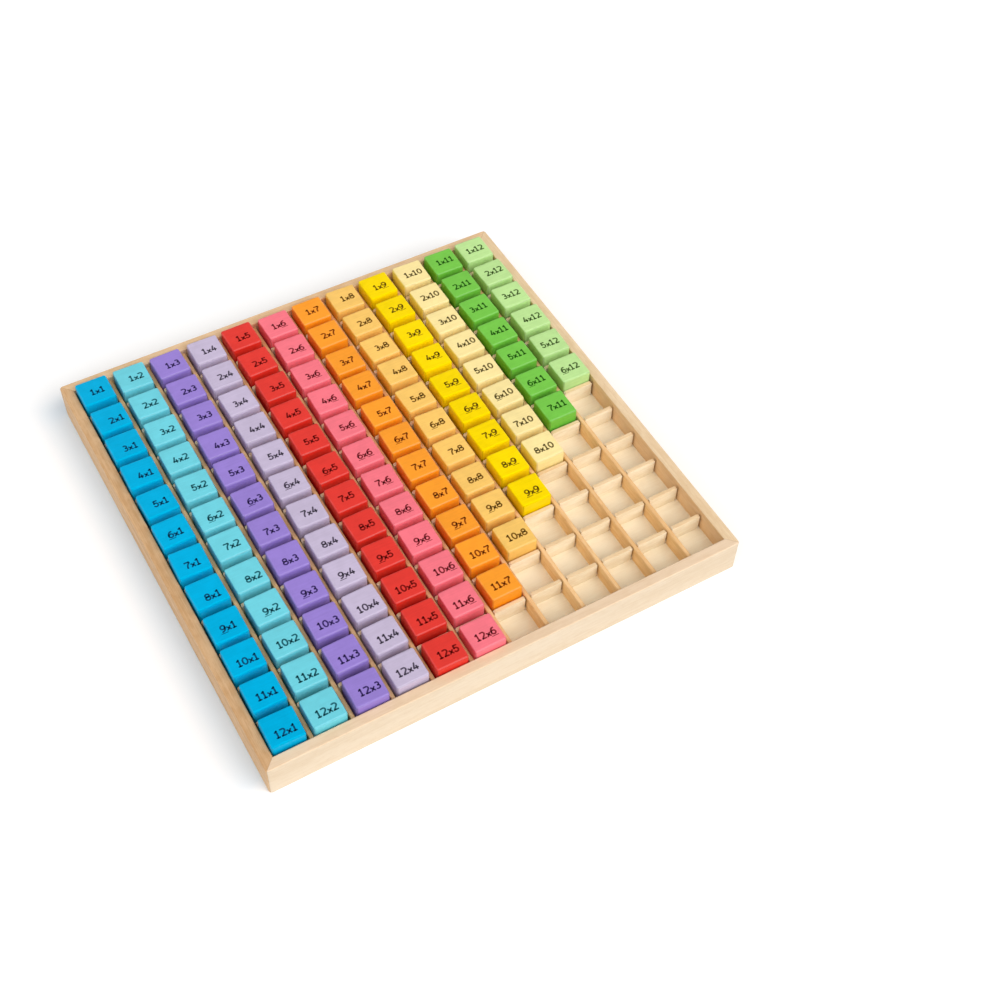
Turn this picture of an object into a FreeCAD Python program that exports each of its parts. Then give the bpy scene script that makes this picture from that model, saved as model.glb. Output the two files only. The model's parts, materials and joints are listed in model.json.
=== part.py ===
import FreeCAD
import Part
import math
import os
import random

# A square beech tray for number blocks. Four mitred rails hold a thin base panel in a groove.
# Strips that cross like an egg crate stand on the panel and divide it into square cells.
# A wooden block stands in each cell, except in a triangle of empty cells at one corner.
# Units are millimetres. +X runs along the columns from the first to the last, +Y points to the
# back of the tray, where row 1 is, and +Z is up. The origin is under the middle of the tray.

# Blocks, which set the size of the cells and so of the whole tray
CUBE_SIDE = 20.0
CUBE_CHAMFER = 1.0
CUBE_CLEARANCE = 0.15
CUBE_TURN_LIMIT = 1.5
SEATING_SEED = 144

# Cells in each row and in each column, and the room in a cell beside its block
CELLS = 12
CELL_PLAY = 1.85

# Columns that are full of blocks. Each one after them holds a block fewer than the one before it.
FULL_COLUMNS = 6

# Frame
RAIL_HEIGHT = 24.5
RAIL_THICKNESS = 7.0
RAIL_EDGE_RADIUS = 0.8
RAIL_FOOT_CHAMFER = 0.6
FRAME_CORNER_RADIUS = 2.0

# Base panel, let into a groove that runs round the inside of the rails
PANEL_THICKNESS = 4.0
PANEL_TOP = 9.5
GROOVE_DEPTH = 3.5
PANEL_EDGE_CLEARANCE = 0.3

# Long dividers, whole along the top, with a notch below at each crossing
LONG_THICKNESS = 2.6
LONG_HEIGHT = 11.5
LONG_EDGE_CHAMFER = 0.4
NOTCH_SIDE_CLEARANCE = 0.1
NOTCH_TOP_CLEARANCE = 0.2

# Cross dividers, with a wide slot above at each crossing and rounded shoulders beside it
CROSS_THICKNESS = 2.2
CROSS_HEIGHT = 12.1
CROSS_WEB_HEIGHT = 2.5
SLOT_SIDE_GAP = 1.2
CROSS_END_GAP = 1.2
SHOULDER_RADIUS = 1.5
SHOULDER_FACETS = 2

# Two places closer than this are the same place
SAME_PLACE = 0.001

# Sizes that follow from those above. The frame is square, so the rows share out the same length
# as the columns, and their thinner dividers leave the cells a little deeper than they are wide.
CELL_WIDTH = CUBE_SIDE + CELL_PLAY
COLUMN_PITCH = CELL_WIDTH + LONG_THICKNESS
INSIDE = CELLS * COLUMN_PITCH - LONG_THICKNESS
ROW_PITCH = (INSIDE + CROSS_THICKNESS) / CELLS
CELL_DEPTH = ROW_PITCH - CROSS_THICKNESS
TRAY_SIDE = INSIDE + 2 * RAIL_THICKNESS
GROOVE_BOTTOM = PANEL_TOP - PANEL_THICKNESS
WEB_TOP = PANEL_TOP + CROSS_WEB_HEIGHT
LONG_TOP = PANEL_TOP + LONG_HEIGHT
CROSS_TOP = PANEL_TOP + CROSS_HEIGHT


def cell_centre_x(column):
    """Middle of a column of cells, column 1 at the left rail."""
    return -INSIDE / 2 + CELL_WIDTH / 2 + (column - 1) * COLUMN_PITCH


def cell_centre_y(row):
    """Middle of a row of cells, row 1 at the back rail."""
    return INSIDE / 2 - CELL_DEPTH / 2 - (row - 1) * ROW_PITCH


def long_divider_x(number):
    """Middle of the divider between column number and the next one."""
    return cell_centre_x(number) + COLUMN_PITCH / 2


def cross_divider_y(number):
    """Middle of the divider between row number and the next one."""
    return cell_centre_y(number) - ROW_PITCH / 2


def centred_box(size_x, size_y, bottom, top):
    """A box centred on the Z axis between two heights."""
    corner = FreeCAD.Vector(-size_x / 2, -size_y / 2, bottom)
    return Part.makeBox(size_x, size_y, top - bottom, corner)


def edges_that_match(shape, test):
    """The edges of a shape whose bounding box passes a test."""
    return [edge for edge in shape.Edges if test(edge.BoundBox)]


def is_upright(box):
    """True for an edge that stands straight up."""
    return box.XLength < SAME_PLACE and box.YLength < SAME_PLACE


def at_height(box, height):
    """True for an edge that lies flat at the given height."""
    return abs(box.ZMin - height) < SAME_PLACE and abs(box.ZMax - height) < SAME_PLACE


def frame_ring():
    """The four rails as one ring, before the mitre cuts."""
    block = centred_box(TRAY_SIDE, TRAY_SIDE, 0, RAIL_HEIGHT)
    block = block.makeFillet(FRAME_CORNER_RADIUS, edges_that_match(block, is_upright))
    ring = block.cut(centred_box(INSIDE, INSIDE, 0, RAIL_HEIGHT))
    top_edges = edges_that_match(ring, lambda box: at_height(box, RAIL_HEIGHT))
    ring = ring.makeFillet(RAIL_EDGE_RADIUS, top_edges)
    foot_edges = edges_that_match(ring, lambda box: at_height(box, 0))
    ring = ring.makeChamfer(RAIL_FOOT_CHAMFER, foot_edges)
    groove_side = INSIDE + 2 * GROOVE_DEPTH
    return ring.cut(centred_box(groove_side, groove_side, GROOVE_BOTTOM, PANEL_TOP))


def mitre_wedge(quarter_turns):
    """The triangle between two mitre planes, turned to one side of the tray."""
    reach = TRAY_SIDE
    corners = [
        FreeCAD.Vector(0, 0, 0),
        FreeCAD.Vector(-reach, -reach, 0),
        FreeCAD.Vector(reach, -reach, 0),
    ]
    triangle = Part.Face(Part.makePolygon(corners + corners[:1]))
    wedge = triangle.extrude(FreeCAD.Vector(0, 0, RAIL_HEIGHT))
    wedge.rotate(FreeCAD.Vector(0, 0, 0), FreeCAD.Vector(0, 0, 1), 90 * quarter_turns)
    return wedge


def frame_rails():
    """One rail for each side, cut from the ring along the mitre planes."""
    ring = frame_ring()
    sides = ["front", "right", "back", "left"]
    return {side: ring.common(mitre_wedge(turns)).Solids[0] for turns, side in enumerate(sides)}


def base_panel():
    """The panel, its edge standing in the groove with a little room for the wood to move."""
    side = INSIDE + 2 * (GROOVE_DEPTH - PANEL_EDGE_CLEARANCE)
    return centred_box(side, side, GROOVE_BOTTOM, PANEL_TOP)


def long_divider(number):
    """A strip from the front rail to the back rail that sits down over the cross dividers."""
    half_notch = CROSS_THICKNESS / 2 + NOTCH_SIDE_CLEARANCE
    notch_top = WEB_TOP + NOTCH_TOP_CLEARANCE
    profile = [(INSIDE / 2, PANEL_TOP), (INSIDE / 2, LONG_TOP)]
    profile += [(-INSIDE / 2, LONG_TOP), (-INSIDE / 2, PANEL_TOP)]
    for crossing in range(CELLS - 1, 0, -1):
        middle = cross_divider_y(crossing)
        profile += [(middle - half_notch, PANEL_TOP), (middle - half_notch, notch_top)]
        profile += [(middle + half_notch, notch_top), (middle + half_notch, PANEL_TOP)]
    left_face = long_divider_x(number) - LONG_THICKNESS / 2
    points = [FreeCAD.Vector(left_face, y, z) for y, z in profile]
    outline = Part.Face(Part.makePolygon(points + points[:1]))
    strip = outline.extrude(FreeCAD.Vector(LONG_THICKNESS, 0, 0))
    top_edges = edges_that_match(strip, lambda box: at_height(box, LONG_TOP) and box.YLength > ROW_PITCH)
    return strip.makeChamfer(LONG_EDGE_CHAMFER, top_edges)


def shoulder(centre_x, centre_z, radius, start_angle):
    """Points on a quarter circle in the plane of a cross divider, clockwise from the start angle."""
    angles = [math.radians(start_angle - 90 * step / SHOULDER_FACETS) for step in range(SHOULDER_FACETS + 1)]
    return [(centre_x + radius * math.cos(angle), centre_z + radius * math.sin(angle)) for angle in angles]


def cross_divider(number):
    """A strip from left to right: one tab with rounded shoulders in each cell, on a low web."""
    slot_half = LONG_THICKNESS / 2 + SLOT_SIDE_GAP
    radius = min(SHOULDER_RADIUS, 0.9 * (CROSS_TOP - WEB_TOP), 0.45 * (COLUMN_PITCH - 2 * slot_half))
    end_x = INSIDE / 2 - CROSS_END_GAP
    profile = [(-end_x, PANEL_TOP)]
    for column in range(1, CELLS + 1):
        left = -end_x if column == 1 else long_divider_x(column - 1) + slot_half
        right = end_x if column == CELLS else long_divider_x(column) - slot_half
        profile += shoulder(left + radius, CROSS_TOP - radius, radius, 180)
        profile += shoulder(right - radius, CROSS_TOP - radius, radius, 90)
        if column < CELLS:
            profile += [(right, WEB_TOP), (right + 2 * slot_half, WEB_TOP)]
    profile += [(end_x, PANEL_TOP)]
    front_face = cross_divider_y(number) - CROSS_THICKNESS / 2
    points = [FreeCAD.Vector(x, front_face, z) for x, z in profile]
    outline = Part.Face(Part.makePolygon(points + points[:1]))
    return outline.extrude(FreeCAD.Vector(0, CROSS_THICKNESS, 0))


def block_master():
    """A block with eased edges, standing on the origin."""
    block = centred_box(CUBE_SIDE, CUBE_SIDE, 0, CUBE_SIDE)
    return block.makeChamfer(CUBE_CHAMFER, block.Edges)


def seated_block(master, row, column, chance):
    """A block set down in its cell by hand: most often near the middle, and a little turned."""
    turn = chance.uniform(-CUBE_TURN_LIMIT, CUBE_TURN_LIMIT)
    lean = math.radians(abs(turn))
    reach = CUBE_SIDE / 2 * (math.cos(lean) + math.sin(lean))
    play_x = max(0.0, CELL_WIDTH / 2 - reach - CUBE_CLEARANCE)
    play_y = max(0.0, CELL_DEPTH / 2 - reach - CUBE_CLEARANCE)
    x = cell_centre_x(column) + chance.triangular(-play_x, play_x, 0)
    y = cell_centre_y(row) + chance.triangular(-play_y, play_y, 0)
    block = master.copy()
    block.rotate(FreeCAD.Vector(0, 0, 0), FreeCAD.Vector(0, 0, 1), turn)
    block.translate(FreeCAD.Vector(x, y, PANEL_TOP))
    return block


def column_of_blocks(column, master, chance):
    """The blocks seated in one column, which all have one colour."""
    filled = min(CELLS, CELLS + FULL_COLUMNS - column)
    blocks = [seated_block(master, row, column, chance) for row in range(1, filled + 1)]
    return Part.makeCompound(blocks)


def all_pieces():
    """Every piece of the tray by name."""
    pieces = {}
    for side, rail in frame_rails().items():
        pieces["frame_rail_" + side] = rail
    pieces["base_panel"] = base_panel()
    for number in range(1, CELLS):
        pieces["long_divider_%02d" % number] = long_divider(number)
        pieces["cross_divider_%02d" % number] = cross_divider(number)
    master = block_master()
    chance = random.Random(SEATING_SEED)
    for column in range(1, CELLS + 1):
        pieces["cubes_column_%02d" % column] = column_of_blocks(column, master, chance)
    return pieces


os.makedirs("parts", exist_ok=True)
for name, shape in all_pieces().items():
    shape.exportStep("parts/" + name + ".step")
    print(name, len(shape.Solids), "solids", round(shape.Volume / 1000, 2), "cm3")
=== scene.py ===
# %% [markdown]
# # A beech tray of number blocks
# This lesson dresses a finished CAD model: a square wooden tray, divided like an egg crate, with
# painted blocks standing in its cells. The CAD gives every size and place. Blender adds what a
# camera sees next: rounded paint, wood grain, print and studio light.
# The CAD objects themselves are never moved. A piece either keeps its CAD mesh and gets a new
# material, or is made again, finer, and stands exactly where its CAD solid stood.

# %% Load the frame
import json
import math
import random

import bmesh
import bpy
import numpy as np
from mathutils import Matrix, Vector

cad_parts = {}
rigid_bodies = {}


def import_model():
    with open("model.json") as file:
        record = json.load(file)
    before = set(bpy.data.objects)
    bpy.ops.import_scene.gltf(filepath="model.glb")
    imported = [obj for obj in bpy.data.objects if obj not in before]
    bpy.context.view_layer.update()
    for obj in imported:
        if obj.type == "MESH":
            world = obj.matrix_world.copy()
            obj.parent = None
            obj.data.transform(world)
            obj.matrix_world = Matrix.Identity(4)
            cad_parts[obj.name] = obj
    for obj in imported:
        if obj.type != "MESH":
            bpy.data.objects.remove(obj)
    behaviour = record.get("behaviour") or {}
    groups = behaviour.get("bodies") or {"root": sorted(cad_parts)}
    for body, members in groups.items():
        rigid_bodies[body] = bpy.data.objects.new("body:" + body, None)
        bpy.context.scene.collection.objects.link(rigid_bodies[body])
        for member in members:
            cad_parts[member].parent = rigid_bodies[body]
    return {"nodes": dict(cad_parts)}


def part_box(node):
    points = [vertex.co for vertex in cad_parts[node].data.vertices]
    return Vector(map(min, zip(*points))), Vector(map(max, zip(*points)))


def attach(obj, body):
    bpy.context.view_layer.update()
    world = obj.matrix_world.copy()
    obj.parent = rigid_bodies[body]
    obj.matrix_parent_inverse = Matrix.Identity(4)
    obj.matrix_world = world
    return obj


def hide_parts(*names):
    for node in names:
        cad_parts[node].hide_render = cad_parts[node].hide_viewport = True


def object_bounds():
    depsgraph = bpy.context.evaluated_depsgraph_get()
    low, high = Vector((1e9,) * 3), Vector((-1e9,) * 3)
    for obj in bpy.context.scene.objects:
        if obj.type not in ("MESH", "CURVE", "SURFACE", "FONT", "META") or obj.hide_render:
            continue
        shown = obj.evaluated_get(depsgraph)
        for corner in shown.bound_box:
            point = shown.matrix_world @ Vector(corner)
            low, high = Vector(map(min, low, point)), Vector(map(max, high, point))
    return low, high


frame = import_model()
cad_low, cad_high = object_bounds()
MM = 0.001
print("CAD box in mm:", [round(side / MM, 2) for side in cad_high - cad_low])

# %% [markdown]
# ## Reading the tray's lines from the frame
# A maker would mark out the tray once and take every later measurement from those marks. The same
# holds here: the middles of the dividers give the columns and rows, and the panel gives the floor
# that the blocks stand on. Nothing below repeats a number that the frame can tell.

# %% Lines of the grid
CELLS = 12


def middle(node):
    """The middle of a CAD node's box."""
    low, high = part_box(node)
    return (low + high) / 2


column_lines = [middle("long_divider_%02d" % n).x for n in range(1, CELLS)]
row_lines = [middle("cross_divider_%02d" % n).y for n in range(1, CELLS)]
column_pitch = column_lines[1] - column_lines[0]
row_pitch = row_lines[0] - row_lines[1]
floor_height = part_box("base_panel")[1].z
block_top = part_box("cubes_column_01")[1].z
rail_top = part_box("frame_rail_front")[1].z
strip_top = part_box("long_divider_01")[1].z
tab_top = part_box("cross_divider_01")[1].z
print("column pitch %.2f mm, row pitch %.2f mm" % (column_pitch / MM, row_pitch / MM))
print("cell floor %.1f mm, block tops %.1f mm" % (floor_height / MM, block_top / MM))

# %% [markdown]
# ## Nodes and colours
# Shader trees and Geometry Nodes trees are built the same way: a node is added, its options are
# set, and each of its sockets gets a value or a link. One helper does all three, so that each tree
# below reads as a list of nodes. Colours are written as a screen shows them and turned into light
# values here, because shaders reckon with light.

# %% Helpers for nodes and colours
def fill(tree, node, sockets):
    """Fills a node's sockets with values or with other outputs."""
    for socket, value in sockets.items():
        if isinstance(value, bpy.types.NodeSocket):
            tree.links.new(value, node.inputs[socket])
        else:
            node.inputs[socket].default_value = value


def put(tree, kind, sockets=None, **options):
    """Adds a node, sets its options and fills its sockets."""
    made = tree.nodes.new(kind)
    for option, value in options.items():
        setattr(made, option, value)
    fill(tree, made, sockets or {})
    return made


def linear(red, green, blue):
    """A colour as seen on a screen, from 0 to 255, as the light values that shaders use."""
    shares = [value / 255 for value in (red, green, blue)]
    return [s / 12.92 if s <= 0.04045 else ((s + 0.055) / 1.055) ** 2.4 for s in shares] + [1.0]


def tinted(colour, red, green, blue):
    """A linear colour with each part scaled by its own amount."""
    return [min(1.0, part * amount) for part, amount in zip(colour, (red, green, blue))] + [1.0]


def shade(colour, amount):
    """A lighter or darker version of a linear colour."""
    return tinted(colour, amount, amount, amount)


print("a middle grey on the screen is %.2f of full light" % linear(128, 128, 128)[0])

# %% [markdown]
# ## Beech
# Sawn and sanded beech is pale and close-grained. It has four scales of pattern: wide, soft bands
# of tone along a rail, a short mottle, fine fibres, and the dark flecks that tell beech from birch.
# A picture of a board could be wrapped round each piece, but its grain would break at every edge.
# Here each scale is one noise, stretched along the grain, so it runs on through the wood.

# %% Helpers for patterns
BAND_SCALE = (7, 95, 95)
MOTTLE_SCALE = (150, 380, 380)
FIBRE_SCALE = (45, 1500, 1500)
FLECK_SCALE = (420, 2400, 2400)
# Most of a noise's values lie in the span. The core is narrower and gives a stronger contrast.
NOISE_SPAN = (0.3, 0.7)
NOISE_CORE = (0.35, 0.65)


def stretched_noise(tree, space, scale, detail, seed):
    """A noise stretched by three scales, in features per metre."""
    place = put(tree, "ShaderNodeMapping",
                {"Vector": space, "Scale": scale, "Location": (seed, 2 * seed, 0)})
    noise = put(tree, "ShaderNodeTexNoise",
                {"Vector": place.outputs[0], "Scale": 1.0, "Detail": detail})
    return noise.outputs["Fac"]


def remap(tree, value, low, high, to_low, to_high):
    """A smooth step from one range to another."""
    ranges = {"From Min": low, "From Max": high, "To Min": to_low, "To Max": to_high}
    step = put(tree, "ShaderNodeMapRange", {"Value": value, **ranges},
               interpolation_type="SMOOTHSTEP")
    return step.outputs["Result"]


def reckon(tree, operation, *values):
    """A math node on one, two or three values."""
    return put(tree, "ShaderNodeMath", dict(enumerate(values)), operation=operation).outputs[0]


def product(tree, first, *others):
    """Several values multiplied."""
    for value in others:
        first = reckon(tree, "MULTIPLY", first, value)
    return first


def steer(tree, operation, *vectors, scale=None):
    """A vector math node on one or two vectors, or on a vector and a scale."""
    sockets = dict(enumerate(vectors))
    if scale is not None:
        sockets["Scale"] = scale
    return put(tree, "ShaderNodeVectorMath", sockets, operation=operation).outputs[0]


def split(tree, vector):
    """The X, Y and Z parts of a vector."""
    return list(put(tree, "ShaderNodeSeparateXYZ", {0: vector}).outputs)


def blend(tree, share, first, second, mode="MIX"):
    """From the first colour to the second as share goes from 0 to 1, or to their product."""
    mix = put(tree, "ShaderNodeMix", {"Factor": share, 6: first, 7: second}, data_type="RGBA",
              blend_type=mode)
    return mix.outputs[2]


def relief(tree, height, strength, depth):
    """A bump of a depth in metres, from a height between 0 and 1."""
    return put(tree, "ShaderNodeBump",
               {"Height": height, "Strength": strength, "Distance": depth}).outputs[0]


print("features per metre across the grain:", BAND_SCALE[1], MOTTLE_SCALE[1], FIBRE_SCALE[1],
      FLECK_SCALE[1])

# %% [markdown]
# ## Cut tops and painted shade at the joints
# Places that the saw or the sander met another way differ a little. The tops of the rails and
# strips have a tint of their own, partly that cut tone and partly painted light and shade. The
# right end of each tab is painted darker, a painted shade beside its slot. Wood that stands close
# behind another piece gets painted shade where it lies in that piece's shade. Each such place could
# be a mesh of its own with its own material. A height, or the distance to a line of the grid, finds
# it in the shader instead, and the meshes stay whole.

# %% Tints and painted shade that a height or a grid line finds
# Painted shade: the dark colour laid where cross dividers meet the strips and the right rail, and
# at the tabs' right ends.
SLOT_SHADE = linear(122, 76, 42)
# Tops get their tint within this depth below them: partly the cut tone, partly painted light and
# shade.
TOP_TONE_START = 0.42 * MM
TOP_TONE_FULL = 0.2 * MM
SLOT_SHADE_CORE = 0.9 * MM
SLOT_SHADE_REACH = 1.5 * MM
SLOT_SHADE_DEPTH = 0.8 * MM
SLOT_SHADE_END = 0.2 * MM
SLOT_SHADE_SHARE = 0.3
# Painted shade on the last part of each tab before its right end, beside the slot.
TAB_END_SHADE_START = 2.9 * MM
TAB_END_SHADE_FULL = 2.1 * MM
TAB_END_SHADE_SHARE = 0.4
LINE_BLUR = 0.1 * MM


def past_line(tree, value, first, pitch):
    """How far a value lies past the nearest of many even lines, as a share of their pitch."""
    lines = reckon(tree, "DIVIDE", reckon(tree, "SUBTRACT", value, first), pitch)
    return reckon(tree, "SUBTRACT", lines, reckon(tree, "ROUND", lines))


def top_tone_and_painted_light(tree, place, surface, height, tint):
    """Tints what lies close to a top at the given height: partly the tone the saw left on the
    narrow edge, partly painted light and shade on the top.
    """
    level = split(tree, place)[2]
    share = remap(tree, level, height - TOP_TONE_START, height - TOP_TONE_FULL, 0.0, 1.0)
    return blend(tree, share, surface, tint, "MULTIPLY")


def painted_slot_shade(tree, place, surface, height, reach):
    """Painted shade at every row line, where cross dividers stand, below height, left of reach."""
    x, y, z = split(tree, place)
    aside = reckon(tree, "ABSOLUTE", past_line(tree, y, row_lines[0], row_pitch))
    painted_shade_share = remap(tree, aside, SLOT_SHADE_CORE / row_pitch, SLOT_SHADE_REACH / row_pitch, SLOT_SHADE_SHARE, 0.0)
    low = remap(tree, z, height - SLOT_SHADE_DEPTH, height, 1.0, 0.0)
    inside = remap(tree, x, reach, reach + SLOT_SHADE_END, 1.0, 0.0)
    return blend(tree, product(tree, painted_shade_share, low, inside), surface, SLOT_SHADE)


def painted_tab_end_shade(tree, place, surface):
    """Painted shade on the right end of every tab, beside its slot at a long strip."""
    past = past_line(tree, split(tree, place)[0], column_lines[0], column_pitch)
    start, full, blur = (size / column_pitch for size in (TAB_END_SHADE_START, TAB_END_SHADE_FULL, LINE_BLUR))
    painted_shade_share = remap(tree, past, -start, -full, 0.0, TAB_END_SHADE_SHARE)
    before = remap(tree, past, -blur, blur, 1.0, 0.0)
    return blend(tree, product(tree, painted_shade_share, before), surface, SLOT_SHADE)


print("marks reach %.1f mm to each side of a row line" % (SLOT_SHADE_REACH / MM))

# %% [markdown]
# ## One recipe for all the wood
# Every wooden piece gets the four scales of pattern first and then the marks that it needs. The
# grain runs the length of a piece, so pieces that run front to back have their space turned by a
# quarter. A mitre shows as a hairline where two rails meet. On a rail's own coordinates that line
# is where x and y are equally far from the middle, so the shader draws it with no extra geometry.

# %% Wood material
BAND_SHARE = 0.42
FIBRE_SHARE = 0.3
MOTTLE_SHARE = 0.28
TONE_RANGE = (0.39, 0.6)
DARK_GRAIN = (0.10, 0.15, 0.22)
PALE_GRAIN = (0.02, 0.04, 0.07)
FLECK_RANGE = (0.64, 0.74)
FLECK_SHARE = 0.25
FLECK_TINT = (0.62, 0.45, 0.30)
MITRE_WIDTH = 0.35 * MM
MITRE_SHARE = 0.4
MITRE_TINT = (0.3, 0.22, 0.15)
WOOD_ROUGHNESS = (0.62, 0.5)
WOOD_GLOSS = 0.25
WOOD_BUMP = 0.25
WOOD_RELIEF = 0.08 * MM


def new_material(name):
    """A material with its node tree and its main shader."""
    material = bpy.data.materials.new(name)
    material.use_nodes = True
    return material, material.node_tree, material.node_tree.nodes["Principled BSDF"]


def mitre_line(tree, place, surface, colour):
    """A hairline where x and y are equally far from the middle of the tray."""
    x, y, _ = split(tree, steer(tree, "ABSOLUTE", place))
    away = reckon(tree, "ABSOLUTE", reckon(tree, "SUBTRACT", x, y))
    joint = remap(tree, away, 0.0, MITRE_WIDTH, MITRE_SHARE, 0.0)
    return blend(tree, joint, surface, tinted(colour, *MITRE_TINT))


def wood(name, colour, turned, seed, figure=1.0, mitred=False, tone_name=None, top_tone_and_light=None,
         slot_shaded=None, end_shaded=False):
    """Beech with its grain along X, or along Y when turned. Figure says how lively the grain is."""
    material, tree, shader = new_material(name)
    place = put(tree, "ShaderNodeTexCoord").outputs["Object"]
    turn = (0, 0, math.pi / 2 if turned else 0)
    space = put(tree, "ShaderNodeMapping", {"Vector": place, "Rotation": turn}).outputs[0]
    bands = stretched_noise(tree, space, BAND_SCALE, 3.0, seed)
    fibres = stretched_noise(tree, space, FIBRE_SCALE, 2.0, seed + 3)
    flecks = stretched_noise(tree, space, FLECK_SCALE, 1.0, seed + 7)
    mottle = stretched_noise(tree, space, MOTTLE_SCALE, 3.0, seed + 9)
    tone = reckon(tree, "MULTIPLY_ADD", bands, BAND_SHARE, product(tree, fibres, FIBRE_SHARE))
    tone = reckon(tree, "MULTIPLY_ADD", mottle, MOTTLE_SHARE, tone)
    if tone_name:
        own = put(tree, "ShaderNodeAttribute", attribute_name=tone_name).outputs["Fac"]
        tone = reckon(tree, "ADD", tone, own)
    dark = tinted(colour, *[1 - part * figure for part in DARK_GRAIN])
    pale = tinted(colour, *[1 + part * figure for part in PALE_GRAIN])
    surface = blend(tree, remap(tree, tone, *TONE_RANGE, 0.0, 1.0), dark, pale)
    speck = remap(tree, flecks, *FLECK_RANGE, 0.0, FLECK_SHARE * figure)
    surface = blend(tree, speck, surface, tinted(colour, *FLECK_TINT))
    if mitred:
        surface = mitre_line(tree, place, surface, colour)
    if top_tone_and_light:
        surface = top_tone_and_painted_light(tree, place, surface, *top_tone_and_light)
    if slot_shaded:
        surface = painted_slot_shade(tree, place, surface, *slot_shaded)
    if end_shaded:
        surface = painted_tab_end_shade(tree, place, surface)
    raised = reckon(tree, "SUBTRACT", fibres, speck)
    fill(tree, shader, {"Base Color": surface, "Specular IOR Level": WOOD_GLOSS,
                        "Roughness": remap(tree, fibres, *NOISE_SPAN, *WOOD_ROUGHNESS),
                        "Normal": relief(tree, raised, WOOD_BUMP, WOOD_RELIEF)})
    return material


def finish_node(node, material):
    """Gives a CAD node its material and leaves its mesh alone."""
    for slot in frame["nodes"][node].material_slots:
        slot.material = material


print("dark grain loses %d to %d per cent" % (100 * DARK_GRAIN[0], 100 * DARK_GRAIN[2]))

# %% [markdown]
# ## Rails
# The four rails come from different boards, so each has its own colour, its own liveliness of grain
# and its own tint along the top, which is partly the cut top's own tone and partly painted light
# and shade. Their CAD meshes are right as they are and only get a finish. The right rail also has
# faint painted shade low on its inner face, where the cross dividers reach it.

# %% Finish the rails
# The last entry of each rail tints its top: partly the cut top's tone, partly painted light and
# shade.
RAILS = {
    "frame_rail_front": (linear(217, 198, 172), 0.6, (1.15, 1.05, 0.98, 1)),
    "frame_rail_back": (linear(230, 194, 152), 1.0, (1.0, 1.0, 1.0, 1)),
    "frame_rail_left": (linear(214, 176, 132), 1.5, (0.97, 0.92, 0.89, 1)),
    "frame_rail_right": (linear(231, 194, 147), 0.9, (1.03, 1.15, 1.36, 1)),
}
RAIL_SEED_STEP = 11.0
INNER_FACE_MARGIN = 0.05 * MM

inner_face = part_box("frame_rail_right")[0].x + INNER_FACE_MARGIN
for number, (node, (colour, figure, top_tint)) in enumerate(RAILS.items()):
    along_y = node in ("frame_rail_left", "frame_rail_right")
    # The right rail gets painted shade low on its inner face at every row line.
    slot_shaded = (tab_top, inner_face) if node == "frame_rail_right" else None
    beech = wood(node.replace("frame_rail", "beech"), colour, along_y, RAIL_SEED_STEP * number,
                 figure, mitred=True, top_tone_and_light=(rail_top, top_tint), slot_shaded=slot_shaded)
    finish_node(node, beech)
print("rails:", ", ".join(RAILS))

# %% [markdown]
# ## Panel and long dividers
# The base panel is one wide, pale sheet with a quiet grain, and the long dividers are thin strips
# cut from one board, so they share a colour. Both keep their CAD meshes. The strips stand a cell
# apart, which is wider than the bands of the wood pattern, so each strip lands in its own tone.

# %% Materials for the panel and the long dividers
PANEL_COLOUR = linear(248, 235, 207)
PANEL_SEED = 53.0
STRIP_COLOUR = linear(242, 201, 141)
# The strips' top tint is partly their cut tone, partly painted light and shade.
STRIP_EDGE_TINT = (0.965, 0.914, 0.946, 1)
STRIP_SEED = 71.0

panel_wood = wood("pale_panel", PANEL_COLOUR, False, PANEL_SEED, figure=0.35)
# The long strips get painted shade low on their faces at every row line, and a top tint that is
# partly their cut tone and partly painted light and shade.
long_wood = wood("long_strip_wood", STRIP_COLOUR, True, STRIP_SEED, figure=1.1,
                 top_tone_and_light=(strip_top, STRIP_EDGE_TINT), slot_shaded=(strip_top, cad_high.x))
finish_node("base_panel", panel_wood)
for number in range(1, CELLS):
    finish_node("long_divider_%02d" % number, long_wood)
print("panel and", CELLS - 1, "long dividers keep their meshes under new wood")

# %% [markdown]
# ## Running a Geometry Nodes tree once
# A tree with named inputs is like a jig: it is built once and set for each job. The values go in
# through each socket's identifier. The evaluated result then becomes a plain mesh, because the
# tray's pieces have to stand on their own in any other program.

# %% Helpers for trees
def new_tree(name, inputs):
    """An empty tree with a geometry socket each way and the named inputs."""
    tree = bpy.data.node_groups.new(name, "GeometryNodeTree")
    tree.interface.new_socket("Geometry", in_out="INPUT", socket_type="NodeSocketGeometry")
    for label, kind in inputs.items():
        tree.interface.new_socket(label, in_out="INPUT", socket_type="NodeSocket" + kind)
    tree.interface.new_socket("Geometry", in_out="OUTPUT", socket_type="NodeSocketGeometry")
    return tree, put(tree, "NodeGroupInput").outputs


def own_tones(tree, given, instances):
    """A random tone for each instance, up to the tree's tone spread either way."""
    low = reckon(tree, "MULTIPLY", given["Tone spread"], -1.0)
    chance = put(tree, "FunctionNodeRandomValue",
                 {2: low, 3: given["Tone spread"], "Seed": given["Seed"]}, data_type="FLOAT")
    toned = put(tree, "GeometryNodeStoreNamedAttribute",
                {"Geometry": instances, "Name": "tone", "Value": chance.outputs[1]},
                data_type="FLOAT", domain="INSTANCE")
    return toned.outputs[0]


def end_tree(tree, instances, material):
    """The end that every tree here shares: real meshes, then the material."""
    real = put(tree, "GeometryNodeRealizeInstances", {"Geometry": instances}).outputs[0]
    painted = put(tree, "GeometryNodeSetMaterial", {"Geometry": real, "Material": material})
    put(tree, "NodeGroupOutput", {"Geometry": painted.outputs[0]})


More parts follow.
